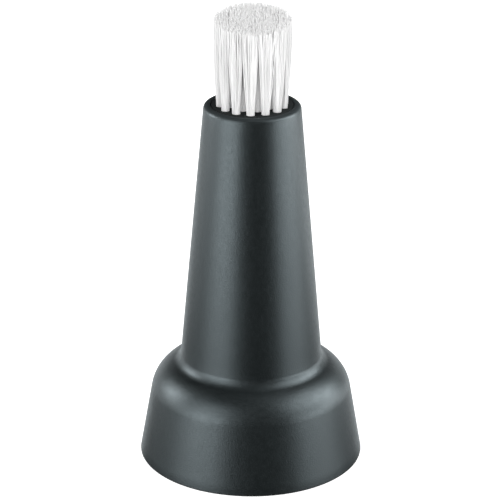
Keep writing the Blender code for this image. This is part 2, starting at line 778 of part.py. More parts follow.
def tuft_mesh(letter, ring_radius):
    """One tuft at angle zero of its ring: a root in its hole, and straight strands on it."""
    root_top = HOUSING_HEIGHT - TUFT_RECESS
    root_bottom = tuft_floor + SEAT_GAP
    root_spread = tuft_radius - strand_radius
    tip_spread = ring_step / 2 - strand_radius - TIP_GAP
    tip_radius = ring_radius * (1 + TIP_FLARE_SHARE)

    def strands(shape):
        for number, (across, along) in enumerate(strand_roots()):
            trim = TRIM_SCATTER * math.sin(number * number + ring_radius / ring_step)
            foot = Vector(
                (ring_radius + across * root_spread, along * root_spread, root_top - STRAND_ROOT)
            )
            tip = Vector(
                (
                    tip_radius + across * tip_spread,
                    along * tip_spread,
                    HOUSING_HEIGHT + BRISTLE_LENGTH + trim,
                )
            )
            lean = Vector((0.0, 0.0, 1.0)).rotation_difference(tip - foot).to_matrix().to_4x4()
            matrix = Matrix.Translation((foot + tip) / 2) @ lean
            narrow = strand_radius * STRAND_TAPER_SHARE
            add_rod(shape, matrix, strand_radius, (tip - foot).length, STRAND_SIDES, narrow)

    def root(shape):
        matrix, length = upright(ring_radius, 0.0, root_bottom, root_top)
        add_rod(shape, matrix, tuft_corner_radius, length, TUFT_STEPS)

    pattern = cutter_mesh(f"tuft_{letter}_root", root)
    combine(pattern, cutter_mesh(f"tuft_{letter}_strands", strands), "UNION")
    return applied_mesh(pattern)


def make_tufts(axis, finish):
    """The tufts of each ring share a mesh and are turned to their places."""
    for letter, radius, angles in tuft_rings():
        mesh = tuft_mesh(letter, radius)
        for number, angle in enumerate(angles, 1):
            tuft = object_from(f"tuft_{letter}_{number:02d}", mesh)
            place(tuft, axis, finish, angle=angle)


def make_empty(name):
    """An empty that pieces are parented to."""
    empty = bpy.data.objects.new(name, None)
    parts.objects.link(empty)
    return empty


def main():
    start_scene()
    base = make_empty("housing_base")
    axis = make_empty("brush_axis")
    shell = material("housing_plastic", (0.045, 0.058, 0.060), 0.42)
    inner = material("carrier_plastic", (0.030, 0.034, 0.036), 0.50)
    dark = material("plate_plastic", (0.016, 0.020, 0.021), 0.65)
    steel = material("steel", (0.62, 0.63, 0.64), 0.30, 1.0)
    zinc = material("zinc_plate", (0.66, 0.67, 0.66), 0.38, 1.0)
    bronze = material("sintered_bronze", (0.48, 0.33, 0.16), 0.45, 1.0)
    rubber = material("seal_rubber", (0.020, 0.020, 0.022), 0.80)
    acetal = material("washer_acetal", (0.82, 0.82, 0.79), 0.45)
    bristle = material("white_bristle", (0.88, 0.89, 0.90), 0.50)

    make_cone_housing(base, shell)
    make_bearing_carrier(base, inner)
    make_carrier_screws(base, zinc)
    make_bushes(base, bronze)
    make_shaft_seal(base, rubber)
    make_retaining_ring(base, steel)
    make_nose_gasket(base, rubber)

    make_drive_shaft(axis, steel)
    make_drive_socket(axis, dark)
    make_cross_pins(axis, steel)
    make_washers(axis, acetal)
    make_shaft_circlip(axis, steel)
    make_brush_plate(axis, dark)
    make_tufts(axis, bristle)


main()
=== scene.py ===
"""Looks of the powered detail brush head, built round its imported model.

The housing, the brush plate, the bristle tufts and the pieces that show from below get finely
modelled meshes in place of their plain solids. The pieces inside keep their solids. Every surface
has a procedural finish. Metres, +Z up, the joint axis is the Z axis.
"""

import json
import math
import random

import bmesh
import bpy
from mathutils import Matrix, Vector

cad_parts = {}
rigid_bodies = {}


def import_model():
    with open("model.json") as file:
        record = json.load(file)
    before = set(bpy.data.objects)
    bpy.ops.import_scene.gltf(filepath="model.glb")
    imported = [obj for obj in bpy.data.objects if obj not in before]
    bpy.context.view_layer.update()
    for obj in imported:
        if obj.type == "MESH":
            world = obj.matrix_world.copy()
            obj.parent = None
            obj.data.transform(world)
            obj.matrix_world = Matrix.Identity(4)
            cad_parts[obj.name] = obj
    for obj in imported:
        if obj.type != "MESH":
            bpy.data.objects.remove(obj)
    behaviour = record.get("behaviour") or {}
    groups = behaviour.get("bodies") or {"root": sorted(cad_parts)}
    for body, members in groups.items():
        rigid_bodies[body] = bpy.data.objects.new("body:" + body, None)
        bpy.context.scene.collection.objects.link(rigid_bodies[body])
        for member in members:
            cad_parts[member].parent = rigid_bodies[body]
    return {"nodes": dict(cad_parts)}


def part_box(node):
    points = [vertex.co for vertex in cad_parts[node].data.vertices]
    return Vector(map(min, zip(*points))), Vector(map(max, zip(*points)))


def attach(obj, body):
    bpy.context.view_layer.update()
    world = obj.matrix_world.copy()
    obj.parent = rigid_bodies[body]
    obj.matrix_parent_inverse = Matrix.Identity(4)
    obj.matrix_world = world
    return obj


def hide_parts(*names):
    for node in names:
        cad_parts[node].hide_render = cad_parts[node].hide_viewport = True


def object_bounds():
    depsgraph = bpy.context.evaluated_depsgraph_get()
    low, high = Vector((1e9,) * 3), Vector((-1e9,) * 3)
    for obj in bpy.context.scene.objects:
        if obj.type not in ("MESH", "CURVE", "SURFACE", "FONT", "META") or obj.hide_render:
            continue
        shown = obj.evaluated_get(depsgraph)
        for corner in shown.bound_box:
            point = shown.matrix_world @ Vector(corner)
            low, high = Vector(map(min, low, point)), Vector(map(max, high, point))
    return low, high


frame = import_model()
nodes = frame["nodes"]
cad_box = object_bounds()

# Steps round a full turn
HOUSING_STEPS = 192
CARRIER_STEPS = 120
SCREW_STEPS = 32
HOLE_STEPS = 28

# Steps along the arcs of the outlines. The wall has one count for its fillet and one for its shoulder
RIM_STEPS = 9
FOOT_STEPS = 6
LIP_STEPS = 4
PLATE_EDGE_STEPS = 4
DOME_STEPS = 8
CORNER_STEPS = 3
OUTER_WALL_STEPS = (14, 28)
INNER_WALL_STEPS = (10, 20)
OUTLINE_STEP = 0.003

# Modelling limits
CREASE_ANGLE = math.radians(32.0)
CUT_END_ANGLE = math.radians(65.0)
WELD_DISTANCE = 0.000001
CUT_OVERRUN = 0.001
CORNER_SHARE = 0.4
SEAT_GAP = 0.0003

# Cone housing
SKIRT_HEIGHT = 0.01835
BASE_RADIUS = 0.0300
BASE_ROUNDING = 0.0003
SKIRT_TAPER = math.radians(9.78)
SHOULDER_RADIUS = 0.01009
NECK_FILLET = 0.00339
NECK_TAPER = math.radians(5.045)
RIM_RADIUS = 0.01268
RIM_ROUNDING = 0.00118
RIM_WIDTH = 0.00173
LIP_DEPTH = 0.0060
LEDGE_DEPTH = 0.0005
LIP_ROUNDING = 0.00010
MOUTH_GAP = 0.0002
HOUSING_WALL = 0.0020
BOSS_RADIUS = 0.0030

# Bearing carrier and the pieces at its collar
MOULD_ROUNDING = 0.00025
FLANGE_THICKNESS = 0.0030
CARRIER_WALL = 0.0018
DISC_THICKNESS = 0.0025
DISC_DROP = 0.0025
COLLAR_WALL = 0.0020
COLLAR_LEAD = 0.0008
SHAFT_RELIEF = 0.0016
SOCKET_CLEARANCE = 0.0004
NOTCH_COUNT = 3
NOTCH_WIDTH = 0.0040
NOTCH_DEPTH = 0.0026
GASKET_WIDTH = 0.0030
GASKET_ROUNDING = 0.0004
RING_WIRE_RADIUS = 0.0007
RING_GROOVE_DEPTH = 0.0008
RING_OPENING = math.radians(30.0)
RING_POINTS = 121
RING_ROUNDNESS = 3

# Carrier screws
SCREW_NAMES = ("carrier_screw_1", "carrier_screw_2", "carrier_screw_3")
SCREW_RADIUS = 0.00125
SCREW_TIP = 0.0010
SCREW_TIP_RADIUS = SCREW_RADIUS / 3
SCREW_HEAD_HEIGHT = 0.0017
SCREW_DOME_SHARE = 2 / 3
SCREW_FACE_SHARE = 0.45
SCREW_RECESS_WIDTH = 0.0007
SCREW_RECESS_DEPTH = 0.0009

# Drive socket and shaft
SHAFT_RADIUS = 0.0030
SHAFT_CHAMFER = 0.0004
RUNNING_CLEARANCE = 0.0001
SOCKET_SIDES = 6
SOCKET_FLATS = 0.0090
SOCKET_DEPTH = 0.0110
SOCKET_LEAD = 0.0006
SHAFT_SEAT_DEPTH = 0.0080
PIN_HOLE_RADIUS = 0.0011

# Brush plate
PLATE_THICKNESS = 0.0080
PLATE_CHAMFER = 0.0001
HUB_RADIUS = 0.0056
TUFT_HOLE_RADIUS = 0.0012
ROOT_SLICE = 0.0001

# Bristle tufts
FILAMENTS = 2160
FILAMENT_RADIUS = 0.00012
FILAMENT_POINTS = 9
FILAMENT_ROUNDNESS = 1
FIELD_RADIUS = 0.0101
GOLDEN_ANGLE = math.pi * (3 - math.sqrt(5))
ROOT_SPREAD = 0.00098
FAN_POWER = 1.1
BOW = 0.00018
TIP_JITTER = 0.00024
EDGE_JITTER = 0.00012
TOP_GAP = 0.00003
TRIM_SLANT = 0.145
TRIM_SCATTER = 0.00030
CLEAN_SIDE = 0.8
SHORT_SHARE = 0.10
SHORT_DROP = 0.0009
SHORT_RANGE = (0.5, 1.5)
DRAW_SEED = 27

# Finishes. A pattern has the size of its grains, its detail and how it is stretched
PATTERN_RANGE = (0.3, 0.7)
PLASTIC_CLOUDS = (0.012, 3.0)
PLASTIC_GLOSS = (0.0011, 4.0)
PLASTIC_SPREAD = 0.04
GRAIN_DETAIL = 2.0
METAL_CLOUDS = (0.004, 4.0)
METAL_SPREAD = 0.08
MARK_DETAIL = 3.0
MARK_STRETCH = (0.15, 0.15, 4.0)
NYLON_STREAKS = (0.0007, 2.0, (1.0, 1.0, 0.05))
NYLON_GLOSS = (0.0004, 2.0)
NYLON_ROUGHNESS = (0.48, 0.60)
NYLON_SPECULAR = 0.02
RIM_ROUGHNESS = 0.95
RIM_FADE = (0.002, 0.001)
LEVEL_NORMALS = (0.55, 0.85)
FLOOR_CLOUDS = (0.05, 2.0)
FLOOR_ROUGHNESS = 0.9
FLOOR_GLOW = 0.62

# Floor and surroundings
FLOOR_RADIUS = 4.0
FLOOR_STEPS = 96
FLOOR_DROP = 0.00005
BACKGROUND_LEVEL = 1.0
GLOSS_LEVEL = 0.012
FILL_LEVEL = 0.80

# Ring of soft lights: name, azimuth in degrees, width, bottom, top and radiance
LIGHT_DISTANCE = 0.38
LIGHT_COLOUR = (0.90, 0.975, 1.0)
RING_LIGHTS = (
    ("left_softbox", -50.0, 0.28, 0.08, 0.40, 5.0),
    ("left_band", -50.0, 0.28, 0.0, 0.08, 11.2),
    ("left_side_band", -90.0, 0.28, 0.0, 0.10, 3.0),
    ("left_rear_softbox", -106.0, 0.16, 0.08, 0.26, 13.0),
    ("left_rear_band", -130.0, 0.28, -0.10, 0.08, 0.5),
    ("left_low_bounce", -55.0, 0.34, -0.08, 0.0, 4.8),
    ("left_low_rear_bounce", -108.0, 0.40, -0.08, 0.0, 1.2),
    ("right_softbox", 85.0, 0.50, 0.16, 0.60, 6.6),
    ("right_band", 70.0, 0.28, 0.0, 0.08, 9.6),
    ("right_rear_softbox", 102.0, 0.20, 0.0, 0.26, 6.8),
    ("right_low_bounce", 74.0, 0.34, -0.08, 0.0, 3.8),
    ("right_low_rear_bounce", 127.0, 0.18, -0.08, 0.0, 2.8),
    ("rear_bounce", 180.0, 0.60, -0.20, 0.12, 1.4),
)

# Camera, with angles in degrees, lens and sensor in millimetres
CAMERA_PLACE = (-0.0004465, -0.627686, 0.313551)
CAMERA_DOWN = 22.172
CAMERA_ROLL = 0.262
CAMERA_LENS = 184.33
CAMERA_SENSOR = 36.0

# Sizes that follow from the frame
housing_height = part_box("cone_housing")[1].z
mouth_middle = (RIM_RADIUS - RIM_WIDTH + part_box("brush_plate")[1].x) / 2
mouth_radius = mouth_middle + MOUTH_GAP / 2
plate_radius = mouth_middle - MOUTH_GAP / 2
nose_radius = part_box("nose_gasket")[1].x + SEAT_GAP
flange_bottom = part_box("nose_gasket")[1].z + SEAT_GAP
flange_top = flange_bottom + FLANGE_THICKNESS
bore_radius = SHAFT_RADIUS + RUNNING_CLEARANCE


def polar(centre, radius, angle):
    """The point at this distance and angle from a centre."""
    return (centre[0] + radius * math.cos(angle), centre[1] + radius * math.sin(angle))


def arc(centre, radius, start, end, steps):
    """Points of a half section along an arc, both ends included."""
    return [
        polar(centre, radius, start + (end - start) * i / steps) for i in range(steps + 1)
    ]


def line_reach(radius, height, taper):
    """How far out a wall line lies along its own normal, from one point on it."""
    return radius * math.cos(taper) + height * math.sin(taper)


neck_reach = line_reach(RIM_RADIUS, housing_height, NECK_TAPER)
skirt_reach = line_reach(BASE_RADIUS, 0.0, SKIRT_TAPER)


def wall_radius(reach, taper, height):
    """The radius at a height of the wall line with this reach."""
    return (reach - height * math.sin(taper)) / math.cos(taper)


def neck_radius(height, inset):
    """The neck wall's radius at a height, this far inside its outer face."""
    return wall_radius(neck_reach - inset, NECK_TAPER, height)


def skirt_radius(height, inset):
    """The skirt wall's radius at a height, this far inside its outer face."""
    return wall_radius(skirt_reach - inset, SKIRT_TAPER, height)


def wall_outline(inset, steps):
    """The wall's section from the foot of the neck to the end of the shoulder, at this inset."""
    fillet_steps, shoulder_steps = steps
    skirt_top = (skirt_radius(SKIRT_HEIGHT, 0.0), SKIRT_HEIGHT)
    shoulder_centre = polar(skirt_top, -SHOULDER_RADIUS, SKIRT_TAPER)
    both_radii = SHOULDER_RADIUS + NECK_FILLET
    spread = neck_reach + NECK_FILLET - line_reach(*shoulder_centre, NECK_TAPER)
    turn = NECK_TAPER + math.acos(spread / both_radii)
    fillet_centre = polar(shoulder_centre, both_radii, turn)
    fillet = arc(fillet_centre, -NECK_FILLET - inset, NECK_TAPER, turn, fillet_steps)
    shoulder = arc(shoulder_centre, SHOULDER_RADIUS - inset, turn, SKIRT_TAPER, shoulder_steps)
    return fillet + shoulder[1:]


def corner_arc(reach, taper, rounding, height, end, steps):
    """The rounded corner between a wall line and the flat face at this height."""
    centre_height = height - math.copysign(rounding, end)
    centre_radius = wall_radius(reach - rounding, taper, centre_height)
    return arc((centre_radius, centre_height), rounding, taper, end, steps)


def with_support(section, step):
    """The section with its long straight runs cut into shorter ones, so that shading stays true."""
    points = []
    for i, start in enumerate(section):
        end = section[(i + 1) % len(section)]
        count = max(1, math.ceil(math.dist(start, end) / step))
        for k in range(count):
            share = k / count
            points.append(
                (start[0] + (end[0] - start[0]) * share, start[1] + (end[1] - start[1]) * share)
            )
    return points


def softened(section, rounding):
    """The section with each corner off the axis rounded by up to this size."""
    points = []
    for i, corner in enumerate(section):
        if corner[0] < WELD_DISTANCE:
            points.append(corner)
            continue
        here = Vector(corner)
        ends = []
        for other in (section[i - 1], section[(i + 1) % len(section)]):
            away = Vector(other) - here
            ends.append(here + away.normalized() * min(rounding, CORNER_SHARE * away.length))
        for k in range(CORNER_STEPS + 1):
            share = k / CORNER_STEPS
            first = ends[0].lerp(here, share)
            points.append(tuple(first.lerp(here.lerp(ends[1], share), share)))
    return points


def turns(count, start=0.0):
    """The angles of a pattern spaced evenly round the axis."""
    return [start + math.tau * i / count for i in range(count)]


# Building blocks


def link(name, data):
    """A new object in the scene that holds this mesh, curve, light or camera."""
    made = bpy.data.objects.new(name, data)
    bpy.context.scene.collection.objects.link(made)
    return made


def mesh_of(source):
    """A mesh of how an object looks with its modifiers."""
    bpy.context.view_layer.update()
    graph = bpy.context.evaluated_depsgraph_get()
    return bpy.data.meshes.new_from_object(source.evaluated_get(graph))


def applied(piece):
    """Put the modifiers' result into the piece's own mesh, smooth with crisp edges."""
    mesh = mesh_of(piece)
    piece.modifiers.clear()
    old = piece.data
    piece.data = mesh
    if old.users == 0:
        bpy.data.batch_remove([old])
    mesh.shade_smooth()
    mesh.set_sharp_from_angle(angle=CREASE_ANGLE)
    return piece


def turned(name, section, steps, closed=True):
    """A half section turned round the Z axis. It runs down its outer side and back up its bore."""
    mesh = bpy.data.meshes.new(name)
    edges = [(i, i + 1) for i in range(len(section) - 1)]
    if closed:
        edges.append((len(section) - 1, 0))
    mesh.from_pydata([(radius, 0.0, height) for radius, height in section], edges, [])
    piece = link(name, mesh)
    screw = piece.modifiers.new("turn", "SCREW")
    screw.steps = steps
    screw.render_steps = steps
    screw.use_merge_vertices = True
    screw.merge_threshold = WELD_DISTANCE
    return applied(piece)


def shaped(name, shape):
    """An object made of these faces, which are used up."""
    mesh = bpy.data.meshes.new(name)
    shape.to_mesh(mesh)
    shape.free()
    return link(name, mesh)


def add_rod(shape, matrix, radius, length, steps, end_radius=None):
    """Add a closed rod or frustum, centred on its middle."""
    bmesh.ops.create_cone(
        shape,
        cap_ends=True,
        segments=steps,
        radius1=radius,
        radius2=radius if end_radius is None else end_radius,
        depth=length,
        matrix=matrix,
    )


def rods(name, places, radius, bottom, top, steps):
    """Upright closed rods at these places across the axis, as one object."""
    shape = bmesh.new()
    for x, y in places:
        matrix = Matrix.Translation((x, y, (bottom + top) / 2))
        add_rod(shape, matrix, radius, top - bottom, steps)
    return shaped(name, shape)


def rod(name, matrix, radius, length, steps, end_radius=None):
    """A closed rod or frustum, centred on its middle."""
    shape = bmesh.new()
    add_rod(shape, matrix, radius, length, steps, end_radius)
    return shaped(name, shape)


def block(name, matrix, size):
    """A closed block of this size, centred on its middle."""
    shape = bmesh.new()
    bmesh.ops.create_cube(shape, size=1.0, matrix=matrix @ Matrix.Diagonal((*size, 1.0)))
    return shaped(name, shape)


def combine(piece, other, operation):
    """Cut, join or intersect a piece with another object, which is used up."""
    boolean = piece.modifiers.new(operation.lower(), "BOOLEAN")
    boolean.operation = operation
    boolean.solver = "EXACT"
    boolean.object = other
    applied(piece)
    bpy.data.objects.remove(other, do_unlink=True)


def new_curve(name, radius, roundness):
    """A curve for round wire of this radius, with closed ends."""
    curve = bpy.data.curves.new(name, "CURVE")
    curve.dimensions = "3D"
    curve.bevel_depth = radius
    curve.bevel_resolution = roundness
    curve.use_fill_caps = True
    return curve


def meshed(name, curve):
    """An object with the mesh of a curve, which is used up. Its cut ends are crisp."""
    holder = link(name, curve)
    mesh = mesh_of(holder)
    bpy.data.objects.remove(holder, do_unlink=True)
    bpy.data.curves.remove(curve)
    mesh.shade_smooth()
    mesh.set_sharp_from_angle(angle=CUT_END_ANGLE)
    return link(name, mesh)


def centre_of(node):
    """The middle of a node's box, across the axis."""
    low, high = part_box(node)
    return ((low.x + high.x) / 2, (low.y + high.y) / 2)


def cross_rod(pin, outer):
    """The hole for a cross pin, through everything within this radius."""
    low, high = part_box(pin)
    place = Matrix.Translation((0.0, 0.0, (low.z + high.z) / 2))
    matrix = place @ Matrix.Rotation(math.pi / 2, 4, "X")
    return rod("pin_hole", matrix, PIN_HOLE_RADIUS, 2 * (outer + CUT_OVERRUN), SCREW_STEPS)


# Finishes


def new_finish(name):
    """A new material, with its node tree and its shader."""
    made = bpy.data.materials.new(name)
    made.use_nodes = True
    tree = made.node_tree
    return made, tree, tree.nodes["Principled BSDF"]


def noise(tree, size, detail, stretch=(1.0, 1.0, 1.0)):
    """A noise pattern in the part's own frame, with grains about this size."""
    coords = tree.nodes.new("ShaderNodeTexCoord")
    mapping = tree.nodes.new("ShaderNodeMapping")
    mapping.inputs["Scale"].default_value = stretch
    tree.links.new(coords.outputs["Object"], mapping.inputs["Vector"])
    pattern = tree.nodes.new("ShaderNodeTexNoise")
    pattern.inputs["Scale"].default_value = 1 / size
    pattern.inputs["Detail"].default_value = detail
    tree.links.new(mapping.outputs["Vector"], pattern.inputs["Vector"])
    return pattern.outputs["Fac"]


def spread(tree, value, low, high, socket):
    """Spread a pattern's middle range over low to high, into a shader socket."""
    scale = tree.nodes.new("ShaderNodeMapRange")
    scale.inputs["From Min"].default_value = PATTERN_RANGE[0]
    scale.inputs["From Max"].default_value = PATTERN_RANGE[1]
    scale.inputs["To Min"].default_value = low
    scale.inputs["To Max"].default_value = high
    tree.links.new(value, scale.inputs["Value"])
    tree.links.new(scale.outputs["Result"], socket)


def tint(tree, value, colours, socket):
    """Blend two colours by a pattern, into a shader socket."""
    ramp = tree.nodes.new("ShaderNodeValToRGB")
    for element, position, colour in zip(ramp.color_ramp.elements, PATTERN_RANGE, colours):
        element.position = position
        element.color = (*colour, 1.0)
    tree.links.new(value, ramp.inputs["Fac"])
    tree.links.new(ramp.outputs["Color"], socket)


def relief(tree, shader, value, depth):
    """Raise a pattern by this depth on the surface."""
    bump = tree.nodes.new("ShaderNodeBump")
    bump.inputs["Strength"].default_value = 1.0
    bump.inputs["Distance"].default_value = depth
    tree.links.new(value, bump.inputs["Height"])
    tree.links.new(bump.outputs["Normal"], shader.inputs["Normal"])


def plastic(name, colours, roughness, grain, depth, specular=0.5, sheen=(1.0, 1.0, 1.0)):
    """Moulded plastic or rubber with a fine grain, cloudy in colour and gloss. Sheen tints the gloss."""
    made, tree, shader = new_finish(name)
    tint(tree, noise(tree, *PLASTIC_CLOUDS), colours, shader.inputs["Base Color"])
    gloss = noise(tree, *PLASTIC_GLOSS)
    low, high = roughness - PLASTIC_SPREAD, roughness + PLASTIC_SPREAD
    spread(tree, gloss, low, high, shader.inputs["Roughness"])
    relief(tree, shader, noise(tree, grain, GRAIN_DETAIL), depth)
    shader.inputs["Specular IOR Level"].default_value = specular
    shader.inputs["Specular Tint"].default_value = (*sheen, 1.0)
    return made


def matte_top(finish, height, roughness):
    """Make a finish matte on its level faces near a height and above it."""
    tree = finish.node_tree
    socket = tree.nodes["Principled BSDF"].inputs["Roughness"]
    coords = tree.nodes.new("ShaderNodeTexCoord")
    fade = (height - RIM_FADE[0], height - RIM_FADE[1])
    masks = []
    for output, (low, high) in (("Normal", LEVEL_NORMALS), ("Object", fade)):
        split = tree.nodes.new("ShaderNodeSeparateXYZ")
        tree.links.new(coords.outputs[output], split.inputs["Vector"])
        mask = tree.nodes.new("ShaderNodeMapRange")
        mask.inputs["From Min"].default_value = low
        mask.inputs["From Max"].default_value = high
        tree.links.new(split.outputs["Z"], mask.inputs["Value"])
        masks.append(mask.outputs["Result"])
    both = tree.nodes.new("ShaderNodeMath")
    both.operation = "MULTIPLY"
    tree.links.new(masks[0], both.inputs[0])
    tree.links.new(masks[1], both.inputs[1])
    blend = tree.nodes.new("ShaderNodeMix")
    tree.links.new(both.outputs["Value"], blend.inputs["Factor"])
    tree.links.new(socket.links[0].from_socket, blend.inputs["A"])
    blend.inputs["B"].default_value = roughness
    tree.links.new(blend.outputs["Result"], socket)


def metal(name, colours, roughness, streak, depth):
    """Metal with fine turning marks round the axis and a cloudy tone."""
    made, tree, shader = new_finish(name)
    tint(tree, noise(tree, *METAL_CLOUDS), colours, shader.inputs["Base Color"])
    marks = noise(tree, streak, MARK_DETAIL, MARK_STRETCH)
    low, high = roughness - METAL_SPREAD, roughness + METAL_SPREAD
    spread(tree, marks, low, high, shader.inputs["Roughness"])
    relief(tree, shader, marks, depth)
    shader.inputs["Metallic"].default_value = 1.0
    return made


def nylon(name, colours):
    """White nylon filament: bright, with little gloss and faint streaks along its length."""
    made, tree, shader = new_finish(name)
    tint(tree, noise(tree, *NYLON_STREAKS), colours, shader.inputs["Base Color"])
    spread(tree, noise(tree, *NYLON_GLOSS), *NYLON_ROUGHNESS, shader.inputs["Roughness"])
    shader.inputs["Specular IOR Level"].default_value = NYLON_SPECULAR
    return made


finishes = {
    "housing_plastic": plastic(
        "housing_plastic",
        colours=((0.0036, 0.0058, 0.0060), (0.0048, 0.0074, 0.0076)),
        roughness=0.42,
        grain=0.00035,
        depth=0.00003,
        sheen=(0.89, 0.97, 1.0),
    ),
    "carrier_plastic": plastic(
        "carrier_plastic",
        colours=((0.078, 0.084, 0.088), (0.096, 0.102, 0.106)),
        roughness=0.50,
        grain=0.0003,
        depth=0.00001,
    ),
    "plate_plastic": plastic(
        "plate_plastic",
        colours=((0.0062, 0.0082, 0.0084), (0.0100, 0.0128, 0.0130)),
        roughness=0.85,
        grain=0.0003,
        depth=0.00003,
        specular=0.2,
    ),
    "seal_rubber": plastic(
        "seal_rubber",
        colours=((0.012, 0.012, 0.013), (0.022, 0.022, 0.023)),
        roughness=0.74,
        grain=0.00016,
        depth=0.000012,
        specular=0.3,
    ),
    "washer_acetal": plastic(
        "washer_acetal",
        colours=((0.78, 0.78, 0.75), (0.85, 0.85, 0.82)),
        roughness=0.42,
        grain=0.0004,
        depth=0.000004,
    ),
    "spring_steel": metal(
        "spring_steel",
        colours=((0.56, 0.57, 0.58), (0.66, 0.67, 0.68)),
        roughness=0.28,
        streak=0.0004,
        depth=0.000004,
    ),
    "zinc_plate": metal(
        "zinc_plate",
        colours=((0.62, 0.64, 0.66), (0.74, 0.74, 0.72)),
        roughness=0.34,
        streak=0.0006,
        depth=0.000004,
    ),
    "sintered_bronze": metal(
        "sintered_bronze",
        colours=((0.38, 0.24, 0.11), (0.54, 0.37, 0.19)),
        roughness=0.46,
        streak=0.0003,
        depth=0.000012,
    ),
    "white_bristle": nylon(
        "white_bristle", colours=((0.92, 0.92, 0.92), (0.995, 0.995, 0.995))
    ),
}

matte_top(finishes["housing_plastic"], housing_height, RIM_ROUGHNESS)


def dress(piece, body, slot, *replaced):
    """Give a piece its slot's finish, the body that it moves with and the nodes that it replaces."""
    piece.data.materials.clear()
    piece.data.materials.append(finishes[slot])
    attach(piece, body)
    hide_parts(*replaced)


def dress_solids():
    """Give the solids the finish of their own slot."""
    for node in nodes.values():
        slot = node.data.materials[0].name if node.data.materials else ""
        if slot in finishes:
            node.data.materials[0] = finishes[slot]


# The housing


def make_cone_shell():
    """Shell with a conical neck, shoulder and bell skirt, and three screw bosses inside."""
    quarter = math.pi / 2
    rim = corner_arc(neck_reach, NECK_TAPER, RIM_ROUNDING, housing_height, quarter, RIM_STEPS)
    foot = corner_arc(skirt_reach, SKIRT_TAPER, BASE_ROUNDING, 0.0, -quarter, FOOT_STEPS)
    lip_bottom = housing_height - LIP_DEPTH
    ledge = lip_bottom - LEDGE_DEPTH
    lip_centre = (mouth_radius + LIP_ROUNDING, housing_height - LIP_ROUNDING)
    lip = arc(lip_centre, LIP_ROUNDING, quarter, math.pi, LIP_STEPS)
    outside = list(reversed(rim)) + wall_outline(0.0, OUTER_WALL_STEPS) + foot
    inside = lip + [
        (mouth_radius, lip_bottom),
        (neck_radius(ledge, HOUSING_WALL), ledge),
        *wall_outline(HOUSING_WALL, INNER_WALL_STEPS),
        (skirt_radius(0.0, HOUSING_WALL), 0.0),
    ]
    section = with_support(outside + list(reversed(inside)), OUTLINE_STEP)
    shell = turned("cone_shell", section, HOUSING_STEPS)

    half_wall = HOUSING_WALL / 2
    core_section = [
        (0.0, lip_bottom),
        (neck_radius(lip_bottom, half_wall), lip_bottom),
        *wall_outline(half_wall, INNER_WALL_STEPS),
        (skirt_radius(0.0, half_wall), 0.0),
        (0.0, 0.0),
    ]
    core = turned("boss_limit", core_section, HOUSING_STEPS, closed=False)
    screws = [centre_of(name) for name in SCREW_NAMES]
    boss_bottom = flange_top + SEAT_GAP
    boss_top = SKIRT_HEIGHT + SHOULDER_RADIUS
    bosses = rods("bosses", screws, BOSS_RADIUS, boss_bottom, boss_top, SCREW_STEPS)
    combine(bosses, core, "INTERSECT")
    combine(shell, bosses, "UNION")
    pilot_bottom = boss_bottom - CUT_OVERRUN
    pilot_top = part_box("carrier_screw_1")[1].z + SEAT_GAP
    pilots = rods(
        "pilots", screws, SCREW_RADIUS + SEAT_GAP, pilot_bottom, pilot_top, SCREW_STEPS
    )
    combine(shell, pilots, "DIFFERENCE")
    dress(shell, "housing", "housing_plastic", "cone_housing")


# The pieces that show from below


